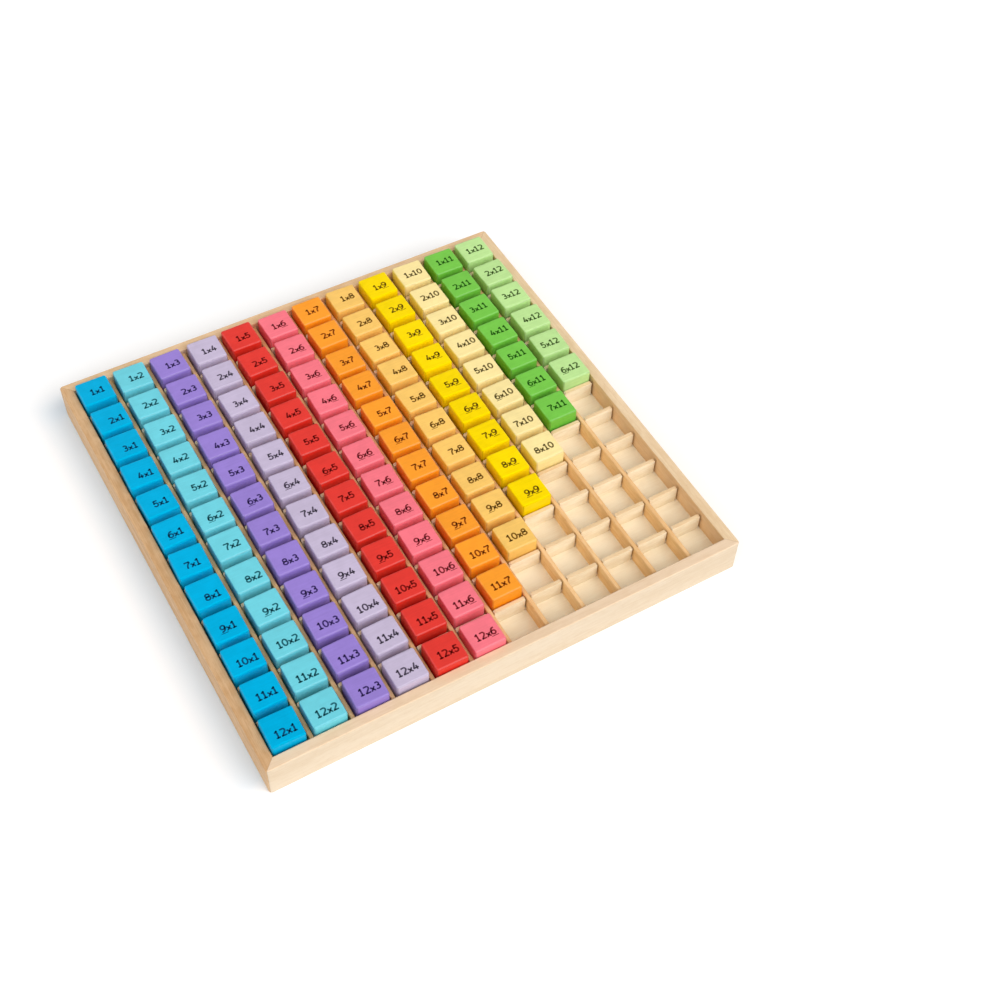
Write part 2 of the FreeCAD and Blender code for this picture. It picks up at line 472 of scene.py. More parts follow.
def run_tree(carrier, tree, values, finish=None):
    """Sets the tree's inputs, evaluates it, and leaves a plain mesh on the carrier object."""
    modifier = carrier.modifiers.new(tree.name, "NODES")
    modifier.node_group = tree
    for item in tree.interface.items_tree:
        if item.in_out == "INPUT" and item.name in values:
            modifier[item.identifier] = values[item.name]
    if finish:
        finish(carrier)
    graph = bpy.context.evaluated_depsgraph_get()
    mesh = bpy.data.meshes.new_from_object(carrier.evaluated_get(graph),
                                           preserve_all_data_layers=True, depsgraph=graph)
    carrier.modifiers.clear()
    carrier.data = mesh
    return carrier


def new_object(name, mesh):
    """An object in the scene at the origin."""
    made = bpy.data.objects.new(name, mesh)
    bpy.context.scene.collection.objects.link(made)
    return made


def carrier_points(name, places, **numbers):
    """Loose points for a tree to work on, which carry named numbers."""
    mesh = bpy.data.meshes.new(name)
    mesh.from_pydata(places, [], [])
    for label, (kind, values) in numbers.items():
        mesh.attributes.new(label, kind, "POINT").data.foreach_set("value", values)
    return mesh


print("tree helpers: new_tree, own_tones, end_tree, run_tree, new_object, carrier_points")

# %% [markdown]
# ## Cross dividers
# Each cross divider is a comb: a low web with a tab in every cell. The tab's shoulders are rounded
# and stop short of the long dividers, which leaves the dark slots that show beside every crossing.
# In CAD a shoulder is a few flat facets, and here it is a true arc. One comb is drawn as an outline
# and given its thickness, and a tree sets eleven of them out along the rows.

# %% One comb from its outline
SLOT_LEFT_GAP = 0.8 * MM
SLOT_RIGHT_GAP = 0.6 * MM
WEB_HEIGHT = 2.5 * MM
SHOULDER_RADIUS = 1.3 * MM
SHOULDER_STEPS = 6

comb_low, comb_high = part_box("cross_divider_01")
strip_low, strip_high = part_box("long_divider_01")
strip_half = (strip_high.x - strip_low.x) / 2


def shoulder(centre_x, centre_z, start):
    """A quarter circle, clockwise from its start angle in degrees."""
    steps = range(SHOULDER_STEPS + 1)
    angles = [math.radians(start - 90 * step / SHOULDER_STEPS) for step in steps]
    return [(centre_x + SHOULDER_RADIUS * math.cos(angle),
             centre_z + SHOULDER_RADIUS * math.sin(angle)) for angle in angles]


def comb_outline():
    """The comb's outline in the XZ plane, clockwise from its lower left corner."""
    ends = [comb_low.x]
    for x in column_lines:
        ends += [x - strip_half - SLOT_LEFT_GAP, x + strip_half + SLOT_RIGHT_GAP]
    ends.append(comb_high.x)
    shoulder_z = comb_high.z - SHOULDER_RADIUS
    web_top = comb_low.z + WEB_HEIGHT
    outline = [(comb_low.x, comb_low.z)]
    for column in range(CELLS):
        left, right = ends[2 * column], ends[2 * column + 1]
        outline += shoulder(left + SHOULDER_RADIUS, shoulder_z, 180)
        outline += shoulder(right - SHOULDER_RADIUS, shoulder_z, 90)
        if column < CELLS - 1:
            outline += [(right, web_top), (ends[2 * column + 2], web_top)]
    outline.append((comb_high.x, comb_low.z))
    return outline


def comb_mesh():
    """The outline given its thickness along Y, centred on y = 0, with its faces outwards."""
    outline = comb_outline()
    count = len(outline)
    half = (comb_high.y - comb_low.y) / 2
    corners = [(x, y, z) for y in (-half, half) for x, z in outline]
    front = tuple(reversed(range(count)))
    back = tuple(range(count, 2 * count))
    steps = [(first, (first + 1) % count) for first in range(count)]
    sides = [(first, last, last + count, first + count) for first, last in steps]
    mesh = bpy.data.meshes.new("comb")
    mesh.from_pydata(corners, [], [front, back] + sides)
    return mesh


print("a comb's outline has", len(comb_outline()), "points")

# %% A tree that sets the combs out along the rows
COMB_COLOUR = linear(246, 232, 203)
# The comb's top tint is darker: mostly painted shade that tones down the light on the tabs' eased
# top edges.
COMB_EDGE_TINT = (0.90, 0.75, 0.60, 1)
COMB_SEED = 97.0
COMB_TONES = 0.05
COMB_TONE_SEED = 5
COMB_EDGE = 0.15 * MM
COMB_EDGE_STEPS = 2
SHARP_ANGLE = math.radians(50)


def comb_tree():
    """Copies its input along a line of rows, each with a tone of its own."""
    tree, given = new_tree("comb_rows", {"Combs": "Int", "First line": "Float",
                                         "Row pitch": "Float", "Tone spread": "Float",
                                         "Seed": "Int", "Wood": "Material"})
    start = put(tree, "ShaderNodeCombineXYZ", {"Y": given["First line"]}).outputs[0]
    back = reckon(tree, "MULTIPLY", given["Row pitch"], -1.0)
    step = put(tree, "ShaderNodeCombineXYZ", {"Y": back}).outputs[0]
    rows = put(tree, "GeometryNodeMeshLine",
               {"Count": given["Combs"], "Start Location": start, "Offset": step}).outputs[0]
    copies = put(tree, "GeometryNodeInstanceOnPoints",
                 {"Points": rows, "Instance": given["Geometry"]}).outputs[0]
    end_tree(tree, own_tones(tree, given, copies), given["Wood"])
    return tree


def ease_edges(carrier):
    """A fine bevel along the comb's sharp edges."""
    bevel = carrier.modifiers.new("eased", "BEVEL")
    bevel.width = COMB_EDGE
    bevel.segments = COMB_EDGE_STEPS
    bevel.limit_method = "ANGLE"
    bevel.angle_limit = SHARP_ANGLE


# Each tab gets painted shade at its right end, beside the slot.
comb_wood = wood("comb_wood", COMB_COLOUR, False, COMB_SEED, figure=0.85, tone_name="tone",
                 top_tone_and_light=(tab_top, COMB_EDGE_TINT), end_shaded=True)
combs = run_tree(new_object("cross_dividers", comb_mesh()), comb_tree(),
                 {"Combs": CELLS - 1, "First line": row_lines[0], "Row pitch": row_pitch,
                  "Tone spread": COMB_TONES, "Seed": COMB_TONE_SEED, "Wood": comb_wood},
                 ease_edges)
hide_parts(*["cross_divider_%02d" % n for n in range(1, CELLS)])
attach(combs, "root")
print("cross dividers:", len(combs.data.polygons), "faces")

# %% [markdown]
# ## Where the blocks stand
# Nobody sets blocks down squarely. Each one stands a little to one side of its cell and a little
# turned. The CAD has these seats already, so they are measured and not made up again: the middle of
# each block's box, and the turn of its top face.

# %% Seats from the CAD
SAME_HEIGHT = 0.01 * MM


def seats_of(node):
    """The middle and the turn of each block in a CAD column, from the back row to the front row."""
    points = np.array([vertex.co for vertex in frame["nodes"][node].data.vertices])
    edges = [cad_high.y] + row_lines + [cad_low.y]
    seats = []
    for upper, lower in zip(edges, edges[1:]):
        block = points[(points[:, 1] < upper) & (points[:, 1] > lower)]
        if len(block) == 0:
            continue
        centre = (block.min(0) + block.max(0)) / 2
        top = block[block[:, 2] > block_top - SAME_HEIGHT] - centre
        angles = np.degrees(np.arctan2(top[:, 1], top[:, 0])) - 45
        turn = math.radians(float(np.mean((angles + 45) % 90 - 45)))
        seats.append((Vector(centre), turn))
    return seats


columns = {number: seats_of("cubes_column_%02d" % number) for number in range(1, CELLS + 1)}
turns = [math.degrees(turn) for seats in columns.values() for _, turn in seats]
print(len(turns), "blocks, turned %.1f to %.1f degrees" % (min(turns), max(turns)))

# %% [markdown]
# ## Painted blocks
# A block is a cube with rounded edges. A plain bevel would do, but the rule behind it is short
# enough for a tree: push every corner point of a divided cube out from a smaller inner cube by the
# radius. Each block keeps its own coordinates, which the paint reads, and a tone of its own,
# because no two dips of paint dry alike.

# %% A tree that rounds a block and seats it
INK_THICKNESS = 0.03 * MM
EDGE_RADIUS = 1.25 * MM
BLOCK_TONES = 0.035
BLOCK_POINTS = 4
# A point's distance from the middle, in half sides, times this is over 1 for outermost points only.
OUTERMOST = 1.5

block_side = block_top - floor_height - INK_THICKNESS


def block_tree():
    """A rounded block on every input point, turned by the point's own angle."""
    tree, given = new_tree("seated_blocks", {"Block side": "Float", "Edge radius": "Float",
                                             "Tone spread": "Float", "Seed": "Int",
                                             "Paint": "Material"})
    side, radius = given["Block side"], given["Edge radius"]
    size = put(tree, "ShaderNodeCombineXYZ", {"X": side, "Y": side, "Z": side}).outputs[0]
    counts = {"Vertices " + axis: BLOCK_POINTS for axis in "XYZ"}
    cube = put(tree, "GeometryNodeMeshCube", {"Size": size, **counts}).outputs[0]
    place = put(tree, "GeometryNodeInputPosition").outputs[0]
    half = reckon(tree, "MULTIPLY", side, 0.5)
    signs = steer(tree, "SIGN", place)
    reach = reckon(tree, "DIVIDE", OUTERMOST, half)
    outer = steer(tree, "FLOOR", steer(tree, "SCALE", steer(tree, "ABSOLUTE", place), scale=reach))
    straight = steer(tree, "NORMALIZE", steer(tree, "MULTIPLY", signs, outer))
    core = steer(tree, "SCALE", signs, scale=reckon(tree, "SUBTRACT", half, radius))
    target = steer(tree, "ADD", core, steer(tree, "SCALE", straight, scale=radius))
    rounded = put(tree, "GeometryNodeSetPosition", {"Geometry": cube, "Position": target})
    own = put(tree, "GeometryNodeStoreNamedAttribute",
              {"Geometry": rounded.outputs[0], "Name": "block_place", "Value": place},
              data_type="FLOAT_VECTOR", domain="POINT").outputs[0]
    smooth = put(tree, "GeometryNodeSetShadeSmooth", {"Geometry": own}).outputs[0]
    seated = put(tree, "GeometryNodeInstanceOnPoints",
                 {"Points": given["Geometry"], "Instance": smooth,
                  "Rotation": own_turn(tree)}).outputs[0]
    end_tree(tree, own_tones(tree, given, seated), given["Paint"])
    return tree


def own_turn(tree):
    """The turn about Z that each input point carries."""
    turn = put(tree, "GeometryNodeInputNamedAttribute", {"Name": "turn"}, data_type="FLOAT")
    return put(tree, "ShaderNodeCombineXYZ", {"Z": turn.outputs[0]}).outputs[0]


seating = block_tree()
print(len(seating.nodes), "nodes round a block and seat it")

# %% [markdown]
# ## Paint
# The paint is a thin satin coat on planed wood. A little of the wood still shows through it: faint
# lines along the grain, and a slightly lighter, thinner coat on the rounded edges. The rounded edge
# towards the front is painted darker instead: a painted shade that tones down the lamp's light
# there. The left and right faces, the end grain, are painted deeper and richer, each colour in its
# own way: a painted shade, as these faces look mostly at their neighbours. The pattern reads each
# block's own coordinates, shifted by its tone, so that no two blocks match.
# A gloss adds white to what lies under it. So the share that the gloss gives back is taken from the
# colour below first, and a part that has less than that share gets a tinted gloss. A top then shows
# its colour as written, and a side that faces only its neighbours looks richer, as real ones do.

# %% Paint material
PAINT_GRAIN_SCALE = (60, 900, 1100)
PAINT_CLOUD_SCALE = (160, 160, 160)
PAINT_SHIFT = (41.0, 23.0, 67.0)
LINE_LEVELS = (0.97, 1.015)
CLOUD_LEVELS = (0.965, 1.03)
WORN_AND_SHADED_SHARES = (0.4, 1.0)
# Shares of the edge radius within which edges that wear, the painted shade on the side faces and
# the painted shade on the front edges set in.
WORN_AND_SHADED_FULL = 0.7
SIDE_SHADE_START = 0.5
FRONT_SHADE_FULL = 0.3
WORN_EDGE = 1.05
# Painted shade on the rounded front top edge, which tones down the lamp's light there.
FRONT_EDGE_SHADE = 0.68
SHEEN = 0.031
PAINT_ROUGHNESS = (0.5, 0.42)
PAINT_GLOSS = 0.5
PAINT_BUMP = 0.12
PAINT_RELIEF = 0.05 * MM


def rounded_share(tree, place):
    """0 on a block's flats and 1 along the middle of its rounded edges."""
    flat = block_side / 2 - EDGE_RADIUS
    x, y, z = split(tree, steer(tree, "ABSOLUTE", place))
    larger, smaller = reckon(tree, "MAXIMUM", x, y), reckon(tree, "MINIMUM", x, y)
    second = reckon(tree, "MAXIMUM", smaller, reckon(tree, "MINIMUM", larger, z))
    return remap(tree, second, flat, flat + WORN_AND_SHADED_FULL * EDGE_RADIUS, 0.0, 1.0)


def paint(name, colour, side_shade_tint):
    """Satin paint with a trace of grain, lighter where the edges wear, with painted shade on the
    front edge and the sides.
    """
    material, tree, shader = new_material(name)
    own = put(tree, "ShaderNodeAttribute", attribute_name="block_place").outputs["Vector"]
    tone = put(tree, "ShaderNodeAttribute", attribute_name="tone").outputs["Fac"]
    space = steer(tree, "ADD", own, steer(tree, "SCALE", PAINT_SHIFT, scale=tone))
    grain = stretched_noise(tree, space, PAINT_GRAIN_SCALE, 2.0, 1.0)
    cloud = stretched_noise(tree, space, PAINT_CLOUD_SCALE, 3.0, 5.0)
    lines = remap(tree, grain, *NOISE_CORE, *LINE_LEVELS)
    broad = remap(tree, cloud, *NOISE_SPAN, *CLOUD_LEVELS)
    level = product(tree, lines, broad, reckon(tree, "ADD", tone, 1.0))
    sheen = [min(part, SHEEN) for part in colour[:3]]
    under = [part - shine for part, shine in zip(colour, sheen)]
    body = steer(tree, "SCALE", under, scale=level)
    x, y, _ = split(tree, own)
    half = block_side / 2
    aside = reckon(tree, "ABSOLUTE", x)
    # The left and right faces are painted deeper: a painted shade, as they face their neighbours.
    side_shaded = remap(tree, aside, half - SIDE_SHADE_START * EDGE_RADIUS, half, 0.0, 1.0)
    body = blend(tree, side_shaded, body, side_shade_tint, "MULTIPLY")
    worn_and_shaded = remap(tree, cloud, *NOISE_CORE, *WORN_AND_SHADED_SHARES)
    # The rounded front top edge is painted darker: a painted shade against the lamp's light there.
    front = remap(tree, y, EDGE_RADIUS - half, FRONT_SHADE_FULL * EDGE_RADIUS - half, 0.0, 1.0)
    edge = blend(tree, front, shade(colour, WORN_EDGE), shade(colour, FRONT_EDGE_SHADE))
    surface = blend(tree, product(tree, rounded_share(tree, own), worn_and_shaded), body, edge)
    fill(tree, shader, {"Base Color": surface, "Specular IOR Level": PAINT_GLOSS,
                        "Specular Tint": [shine / SHEEN for shine in sheen] + [1.0],
                        "Roughness": remap(tree, cloud, *NOISE_SPAN, *PAINT_ROUGHNESS),
                        "Normal": relief(tree, grain, PAINT_BUMP, PAINT_RELIEF)})
    return material


print("the gloss gives back %.1f per cent" % (100 * SHEEN))

# %% [markdown]
# ## Twelve colours
# Each column has one colour, from blue at the left to light green at the right. The second set of
# numbers is painted shade on the left and right faces, the end grain. It is what the left faces of
# the real blocks show beside their tops: pink goes nearly red, cream goes honey yellow, and the
# purples don't change.

# %% Seat the blocks, column by column
# The second colour of each paint is the painted shade on its left and right faces.
PAINTS = {
    "blue": (linear(0, 173, 220), (1.0, 0.92, 1.0, 1)),
    "turquoise": (linear(114, 208, 222), (0.4, 0.7, 0.78, 1)),
    "purple": (linear(152, 129, 206), (1.0, 1.0, 1.0, 1)),
    "lilac": (linear(197, 184, 209), (1.0, 1.0, 1.0, 1)),
    "red": (linear(223, 64, 57), (1.0, 0.4, 0.5, 1)),
    "pink": (linear(246, 122, 135), (0.9, 0.5, 0.6, 1)),
    "orange": (linear(251, 158, 54), (0.95, 0.7, 0.3, 1)),
    "apricot": (linear(248, 199, 108), (1.0, 1.0, 0.35, 1)),
    "yellow": (linear(252, 218, 0), (1.0, 1.0, 1.0, 1)),
    "cream": (linear(250, 228, 160), (1.0, 1.0, 0.35, 1)),
    "green": (linear(118, 195, 77), (0.85, 0.9, 0.35, 1)),
    "light_green": (linear(189, 227, 150), (0.9, 0.9, 0.6, 1)),
}


def smooth_flats(carrier):
    """Keeps the big faces flat to the light and lets only the edges turn it."""
    carrier.modifiers.new("flats", "WEIGHTED_NORMAL").keep_sharp = False


for number, (colour_name, (colour, side_shade_tint)) in enumerate(PAINTS.items(), 1):
    seats = columns[number]
    middles = [(centre.x, centre.y, floor_height + block_side / 2) for centre, _ in seats]
    points = carrier_points("seats", middles, turn=("FLOAT", [turn for _, turn in seats]))
    blocks = run_tree(new_object("blocks_column_%02d" % number, points), seating,
                      {"Block side": block_side, "Edge radius": EDGE_RADIUS,
                       "Tone spread": BLOCK_TONES, "Seed": number,
                       "Paint": paint(colour_name + "_paint", colour, side_shade_tint)}, smooth_flats)
    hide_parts("cubes_column_%02d" % number)
    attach(blocks, "root")
print("each block has", len(blocks.data.polygons) // len(seats), "faces")

# %% [markdown]
# ## Print
# The numbers look drawn with a round pen: even strokes, round ends, a 1 with a flag and a foot, and
# a line under each 6 and 9 so that nobody reads them upside down. No font is needed for that. A
# digit is a few strokes, a stroke is the centre line of the pen, and the pen's width is laid to
# both sides of it. Each digit becomes one flat mesh, and a tree stamps it where a label needs it.

# %% Strokes of each digit, in pen millimetres above the writing line
TALL = 4.15
CROSS = 2.1
GLYPH_GAP = 1.0
ARC_STEPS = 12


def arc(centre_x, centre_y, wide, high, start, end, steps=ARC_STEPS):
    """Points along part of an ellipse, between two angles in degrees."""
    angles = [math.radians(start + (end - start) * step / steps) for step in range(steps + 1)]
    return [(centre_x + wide * math.cos(a), centre_y + high * math.sin(a)) for a in angles]


def ring(centre_x, centre_y, wide, high):
    """A whole ellipse."""
    return arc(centre_x, centre_y, wide, high, 0, 360, 2 * ARC_STEPS)


STROKES = {
    "0": (2.6, [ring(1.3, TALL / 2, 1.3, TALL / 2)]),
    "1": (2.2, [[(0.25, 3.5), (1.1, TALL)], [(1.1, TALL), (1.1, 0)], [(0.3, 0), (1.9, 0)]]),
    "2": (2.55, [[(0.15, TALL - 0.1)] + arc(1.35, 3.05, 1.05, 1.1, 90, -40) + [(0.2, 0)],
                 [(0.2, 0), (2.4, 0)]]),
    "3": (2.4, [arc(1.15, 3.12, 1.05, 1.03, 120, -75), arc(1.1, 1.12, 1.25, 1.12, 78, -125)]),
    "4": (2.75, [[(1.4, TALL), (0.2, 1.0)], [(0.2, 1.0), (2.6, 1.0)], [(1.95, 2.1), (1.95, 0.1)]]),
    "5": (2.5, [[(2.2, TALL), (0.5, TALL)], [(0.5, TALL), (0.35, 2.35)],
                arc(1.15, 1.3, 1.25, 1.3, 130, -145)]),
    "6": (2.5, [arc(2.1, 1.5, 2.1, 2.65, 90, 180), ring(1.25, 1.25, 1.25, 1.25)]),
    "7": (2.5, [[(0.1, TALL), (2.45, TALL)],
                [(2.45, TALL)] + arc(4.2, 0.0, 3.2, 3.9, 118, 180)]),
    "8": (2.6, [ring(1.3, 3.1, 1.1, 1.05), ring(1.3, 1.12, 1.3, 1.12)]),
    "9": (2.5, [arc(0.4, 2.65, 2.1, 2.65, 270, 360), ring(1.25, 2.9, 1.25, 1.25)]),
    "x": (1.8, [[(0.0, 0.0), (1.8, CROSS)], [(0.0, CROSS), (1.8, 0.0)]]),
    "_": (2.5, [[(-0.7, -1.1), (3.2, -1.1)]]),
}
GLYPHS = sorted(STROKES)
print("glyphs:", " ".join(GLYPHS))

# %% From a centre line to a pen stroke
PEN_WIDTH = 0.98
UNDERLINE_WIDTH = 0.42
CAP_STEPS = 6
SAME_POINT = 1e-6


def pen_stroke(line, width):
    """Corners and faces of one stroke: a ribbon along the line with a half round at each end."""
    points = [Vector(point) for point in line]
    closed = (points[0] - points[-1]).length < SAME_POINT
    if closed:
        points = points[:-1]
    count = len(points)
    half = width / 2
    sides = []
    for index, point in enumerate(points):
        before = points[index - 1] if closed or index else point
        after = points[(index + 1) % count] if closed or index < count - 1 else point
        ahead = (after - before).normalized()
        sides.append(Vector((-ahead.y, ahead.x)) * half)
    corners = [p + s for p, s in zip(points, sides)] + [p - s for p, s in zip(points, sides)]
    spans = range(count if closed else count - 1)
    faces = [(i, i + count, (i + 1) % count + count, (i + 1) % count) for i in spans]
    if not closed:
        for end, flip in ((0, 1), (count - 1, -1)):
            arm = sides[end] * flip
            first = len(corners)
            turns = [math.pi * step / CAP_STEPS for step in range(CAP_STEPS + 1)]
            corners += [points[end] + Matrix.Rotation(t, 2) @ arm for t in turns]
            faces.append(tuple(range(first, len(corners))))
    return corners, faces


def glyph_object(name, strokes, width):
    """All strokes of a glyph as one flat mesh in metres, facing up."""
    corners, faces = [], []
    for line in strokes:
        more, spans = pen_stroke(line, width)
        faces += [tuple(index + len(corners) for index in span) for span in spans]
        corners += more
    mesh = bpy.data.meshes.new(name)
    mesh.from_pydata([(c.x * MM, c.y * MM, 0.0) for c in corners], [], faces)
    drawn = bmesh.new()
    drawn.from_mesh(mesh)
    turned = [face for face in drawn.faces if face.normal.z < 0]
    bmesh.ops.reverse_faces(drawn, faces=turned)
    drawn.to_mesh(mesh)
    drawn.free()
    return bpy.data.objects.new(name, mesh)


glyph_box = bpy.data.collections.new("glyph_box")
for index, glyph in enumerate(GLYPHS):
    pen = UNDERLINE_WIDTH if glyph == "_" else PEN_WIDTH
    glyph_box.objects.link(glyph_object("glyph_%02d" % index, STROKES[glyph][1], pen))

# %% [markdown]
# ## Labels
# A block reads row, cross, column: the first number is its row from the back, the second its column
# from the left. The printer never hits the middle of a block twice. On this tray the labels sit a
# little right of the middle and well in front of it, and they drift from column to column, as each
# colour went through the press on its own.

# %% Where each glyph goes, in millimetres from the middle of a block
LABEL_RIGHT = 1.7
LABEL_RIGHT_PER_COLUMN = -0.094
LABEL_RIGHT_PER_ROW = -0.071
LABEL_LINE = -4.13
LABEL_LINE_PER_COLUMN = 0.171
LABEL_LINE_PER_ROW = -0.085
LABEL_SCATTER = 0.45
LABEL_REACH = 8.4


def label_glyphs(row, column):
    """The glyphs of one label with their places along the writing line, and the label's width."""
    pen_x, placed = 0.0, []
    for glyph in "%dx%d" % (row, column):
        placed.append((glyph, pen_x))
        if glyph in "69":
            placed.append(("_", pen_x))
        pen_x += STROKES[glyph][0] + GLYPH_GAP
    return placed, pen_x - GLYPH_GAP


def label_points(column, chance):
    """Place, turn and glyph number for everything printed on one column."""
    stamps = []
    for row, (centre, turn) in enumerate(columns[column], 1):
        placed, width = label_glyphs(row, column)
        right = LABEL_RIGHT + LABEL_RIGHT_PER_COLUMN * column + LABEL_RIGHT_PER_ROW * row
        line = LABEL_LINE + LABEL_LINE_PER_COLUMN * column + LABEL_LINE_PER_ROW * row
        right += chance.gauss(0, LABEL_SCATTER)
        line += chance.gauss(0, LABEL_SCATTER)
        room = LABEL_REACH - (width + PEN_WIDTH) / 2
        right = max(-room, min(room, right))
        for glyph, pen_x in placed:
            flat = Matrix.Rotation(turn, 2) @ Vector((right - width / 2 + pen_x, line)) * MM
            place = Vector((centre.x + flat.x, centre.y + flat.y, block_top))
            stamps.append((place, turn, GLYPHS.index(glyph)))
    return stamps


widths = [label_glyphs(row, column)[1]
          for column, seats in columns.items() for row in range(1, len(seats) + 1)]
print("labels are %.1f to %.1f mm wide" % (min(widths), max(widths)))

# %% [markdown]
# ## Ink
# The print is a dark ink that the paint still tints, more so on the deep colours than on the pale
# ones. It could be black everywhere, but then it would look pasted on. So each column has its own
# ink, which is the paint's colour made deep and a little uneven.

# %% A tree that stamps glyphs, and the ink
INK_SCALE = (1500, 1500, 1500)
INK_PATCHES = (0.35, 0.75)
INK_DEPTH = 1.6
INK_ON_BLACK = 0.42
INK_LOSS_ON_WHITE = 0.37
INK_THICK = 0.75
INK_THIN = 1.4
INK_ROUGHNESS = (0.5, 0.65)
INK_GLOSS = 0.1


def print_tree():
    """Puts the glyph that each point names on that point, turned with its block."""
    tree, given = new_tree("stamped_print", {"Glyphs": "Collection", "Ink": "Material"})
    stock = put(tree, "GeometryNodeCollectionInfo",
                {"Collection": given["Glyphs"], "Separate Children": True,
                 "Reset Children": True}).outputs[0]
    which = put(tree, "GeometryNodeInputNamedAttribute", {"Name": "glyph"}, data_type="INT")
    stamped = put(tree, "GeometryNodeInstanceOnPoints",
                  {"Points": given["Geometry"], "Instance": stock, "Pick Instance": True,
                   "Instance Index": which.outputs[0], "Rotation": own_turn(tree)})
    end_tree(tree, stamped.outputs[0], given["Ink"])
    return tree


def ink(name, colour):
    """Dark ink that lets a trace of the paint under it through, a little uneven."""
    material, tree, shader = new_material(name)
    place = put(tree, "ShaderNodeTexCoord").outputs["Object"]
    patchy = stretched_noise(tree, place, INK_SCALE, 2.0, 3.0)
    share = remap(tree, patchy, *INK_PATCHES, 0.0, 1.0)
    deep = [part ** INK_DEPTH for part in colour]
    through = INK_ON_BLACK - INK_LOSS_ON_WHITE * sum(colour[:3]) / 3
    thick, thin = shade(deep, INK_THICK * through), shade(deep, INK_THIN * through)
    fill(tree, shader, {"Base Color": blend(tree, share, thick, thin),
                        "Roughness": remap(tree, patchy, *NOISE_SPAN, *INK_ROUGHNESS),
                        "Specular IOR Level": INK_GLOSS})
    return material


stamping = print_tree()
print(len(stamping.nodes), "nodes stamp the print")

# %% Print the labels
PRINT_SEED = 36

press = random.Random(PRINT_SEED)
glyph_count = 0
for number, (colour_name, (colour, _)) in enumerate(PAINTS.items(), 1):
    places, turns, glyphs = zip(*label_points(number, press))
    points = carrier_points("stamps", places, turn=("FLOAT", turns), glyph=("INT", glyphs))
    printed = run_tree(new_object("print_column_%02d" % number, points), stamping,
                       {"Glyphs": glyph_box, "Ink": ink(colour_name + "_ink", colour)})
    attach(printed, "root")
    glyph_count += len(places)
for glyph in list(glyph_box.objects):
    bpy.data.objects.remove(glyph)
bpy.data.collections.remove(glyph_box)
print(glyph_count, "glyphs stamped")

# %% [markdown]
# ## Studio
# The tray lies on a white sheet under one very wide, soft lamp, which stands in front of it, to the
# right and about half way up. So tops and front faces are bright, and a soft shadow falls to the
# left and the back. Light from all round fills the rest. It grows evenly towards the front left and
# never falls under a least level. Together they make a plain level: a colour that faces up renders
# about as it is written.
# The eye sees plain white all round. Close to the left rail the sheet is painted a touch darker and
# cooler: a painted shade that deepens the shadow there and answers the warm light that the beech
# throws on it, so that the shadow stays grey.

# %% Floor
SHEET_HALF = 6.0
SHEET_BOUNCE = (0.9, 0.9, 0.9, 1)
SHEET_COLOUR = (1.0, 1.0, 1.0, 1)
# Painted shade: the sheet beside the left rail, darker and cooler than the rest.
SHEET_SHADE_COLOUR = (0.80, 0.905, 1.0, 1)
SHEET_SHADE_REACH = 25 * MM
SHEET_SHADE_START = 12 * MM
SHEET_LIFT = 0.04


def seen_by_eye(tree):
    """1 for what the camera sees, straight, in a gloss or through glass, and 0 for other light."""
    path = put(tree, "ShaderNodeLightPath").outputs
    mirrored = reckon(tree, "MAXIMUM", path["Is Glossy Ray"], path["Is Transmission Ray"])
    return reckon(tree, "MAXIMUM", path["Is Camera Ray"], mirrored)


def floor_material():
    """A white sheet that shows pure white to the eye and gives plain white light back, with a
    painted shade, darker and cooler, along the tray's left side.
    """
    material, tree, shader = new_material("white_sheet")
    seen = seen_by_eye(tree)
    x, y, _ = split(tree, put(tree, "ShaderNodeTexCoord").outputs["Object"])
    beside = remap(tree, x, cad_low.x - SHEET_SHADE_REACH, cad_low.x, 0.0, 1.0)
    under = remap(tree, x, cad_low.x, cad_low.x + SHEET_SHADE_START, 1.0, 0.0)
    front = remap(tree, y, cad_low.y, cad_low.y + SHEET_SHADE_START, 0.0, 1.0)
    back = remap(tree, y, cad_high.y, cad_high.y + SHEET_SHADE_REACH, 1.0, 0.0)
    painted_shade_share = product(tree, beside, under, front, back)
    surface = blend(tree, painted_shade_share, SHEET_COLOUR, SHEET_SHADE_COLOUR)
    fill(tree, shader, {"Base Color": blend(tree, seen, SHEET_BOUNCE, surface),
                        "Emission Color": SHEET_COLOUR,
                        "Emission Strength": product(tree, seen, SHEET_LIFT),
                        "Roughness": 1.0, "Specular IOR Level": 0.0})
    return material


sheet_mesh = bpy.data.meshes.new("floor")
sheet_corners = [(x * SHEET_HALF, y * SHEET_HALF, 0.0)
                 for x, y in ((-1, -1), (1, -1), (1, 1), (-1, 1))]
sheet_mesh.from_pydata(sheet_corners, [], [(0, 1, 2, 3)])
sheet_mesh.materials.append(floor_material())
sheet = new_object("floor", sheet_mesh)
print("floor %.0f m across" % (2 * SHEET_HALF))

# %% Lamp
LAMP_AZIMUTH = math.radians(33.1)
LAMP_ELEVATION = math.radians(40.9)
LAMP_SPREAD = math.radians(54)
LAMP_LEVEL = 0.635


def towards(azimuth, elevation):
    """The direction from the tray to a place that is turned from the front and raised."""
    flat = math.cos(elevation)
    return Vector((math.sin(azimuth) * flat, -math.cos(azimuth) * flat, math.sin(elevation)))


lamp_towards = towards(LAMP_AZIMUTH, LAMP_ELEVATION)
lamp = bpy.data.lights.new("soft_lamp", "SUN")
lamp.energy = math.pi * LAMP_LEVEL
lamp.angle = LAMP_SPREAD
lamp_turn = lamp_towards.to_track_quat("Z", "Y").to_matrix().to_4x4()
lamp_object = new_object("soft_lamp", lamp)
lamp_object.matrix_world = Matrix.Translation(lamp_towards) @ lamp_turn
print("lamp level %.2f, %.0f degrees wide" % (LAMP_LEVEL, math.degrees(LAMP_SPREAD)))

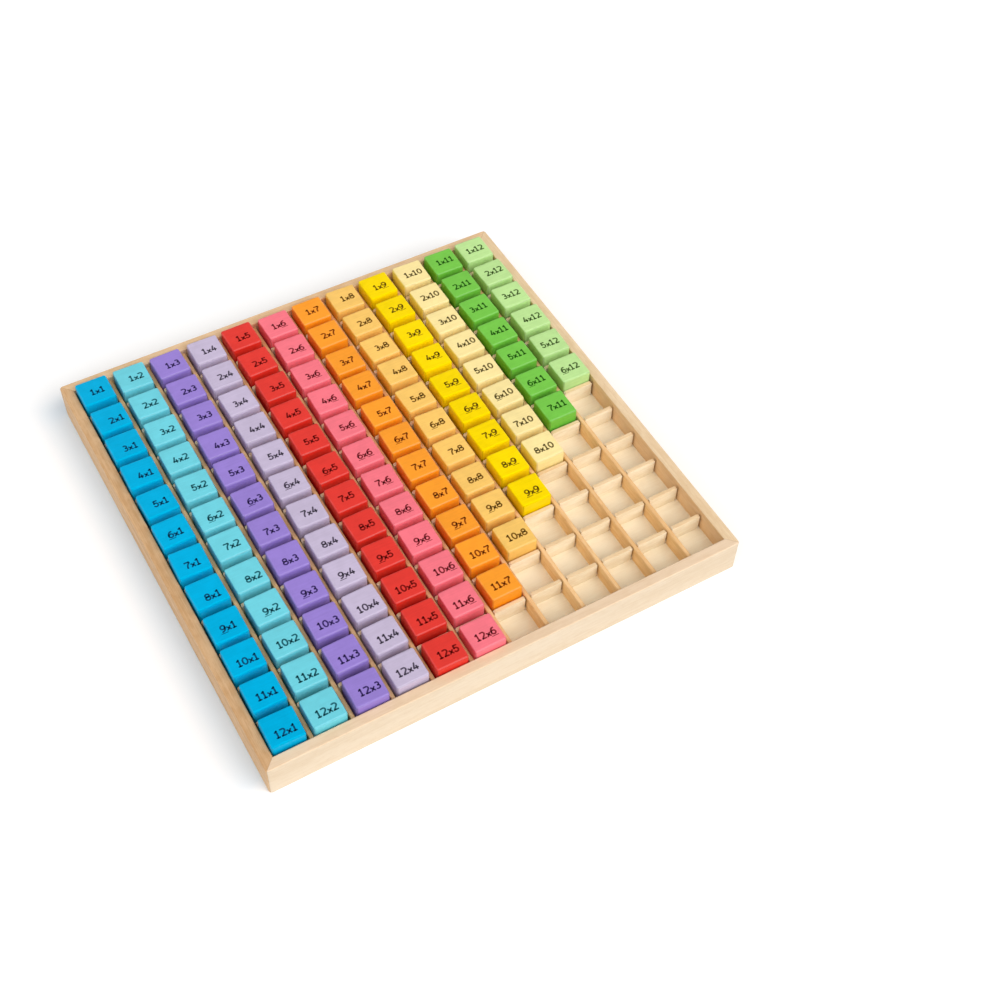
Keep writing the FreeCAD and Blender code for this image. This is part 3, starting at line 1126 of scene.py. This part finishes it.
# %% Light from all round
ROUND_LEAN = (-0.913, -0.784, 0.681)
ROUND_LEAST = 0.3


def round_light():
    """A world whose strength changes evenly with direction, and which looks plain white."""
    world = bpy.data.worlds.new("studio")
    world.use_nodes = True
    tree = world.node_tree
    direction = put(tree, "ShaderNodeTexCoord").outputs["Generated"]
    lean = put(tree, "ShaderNodeVectorMath", {0: direction, 1: ROUND_LEAN},
               operation="DOT_PRODUCT")
    strength = reckon(tree, "MAXIMUM", lean.outputs["Value"], ROUND_LEAST)
    level = put(tree, "ShaderNodeMix", {"Factor": seen_by_eye(tree), "A": strength, "B": 1.0},
                data_type="FLOAT")
    fill(tree, tree.nodes["Background"],
         {"Color": (1, 1, 1, 1), "Strength": level.outputs["Result"]})
    return world


def level_on(face, steps=40):
    """The light on an unshaded face that looks one way, where 1 shows a colour as written."""
    total = LAMP_LEVEL * max(0.0, lamp_towards.dot(face))
    for high in range(steps):
        rise = (high + 0.5) / steps
        flat = math.sqrt(1 - rise * rise)
        for turn in range(2 * steps):
            angle = math.pi * (turn + 0.5) / steps
            source = Vector((flat * math.cos(angle), flat * math.sin(angle), rise))
            strength = max(ROUND_LEAST, source.dot(Vector(ROUND_LEAN)))
            total += strength * max(0.0, source.dot(face)) / steps ** 2
    return total


bpy.context.scene.world = round_light()
print("light on a face that looks up: %.2f" % level_on(Vector((0, 0, 1))))

# %% [markdown]
# ## Camera
# The camera looks down from the front left. Its turn, height, distance and lens come from matching
# the tray's corners and all its blocks to the photograph, so the picture lines up piece by piece.

# %% Camera
AZIMUTH = math.radians(-34.54)
ELEVATION = math.radians(51.86)
ROLL = math.radians(4.526)
DISTANCE = 0.9456
AIM = Vector((0.0809, -0.0412, 0.0))
FOCAL_PIXELS = 1514.9
CENTRE_PIXELS = (537.9, 484.0)
PICTURE_PIXELS = 1000
SENSOR_WIDTH = 36

backward = towards(AZIMUTH, ELEVATION)
level = (-backward).cross(Vector((0, 0, 1))).normalized()
upward = level.cross(-backward)
across = math.cos(ROLL) * level + math.sin(ROLL) * upward
upright = math.cos(ROLL) * upward - math.sin(ROLL) * level
camera = bpy.data.cameras.new("camera")
camera.sensor_width = SENSOR_WIDTH
camera.lens = FOCAL_PIXELS / PICTURE_PIXELS * SENSOR_WIDTH
camera.shift_x = -(CENTRE_PIXELS[0] - PICTURE_PIXELS / 2) / PICTURE_PIXELS
camera.shift_y = (CENTRE_PIXELS[1] - PICTURE_PIXELS / 2) / PICTURE_PIXELS
camera_turn = Matrix((across, upright, backward)).transposed().to_4x4()
camera_object = new_object("camera", camera)
camera_object.matrix_world = Matrix.Translation(AIM + backward * DISTANCE) @ camera_turn
bpy.context.scene.camera = camera_object
bpy.context.scene.view_settings.view_transform = "Standard"
print("lens %.1f mm" % camera.lens)
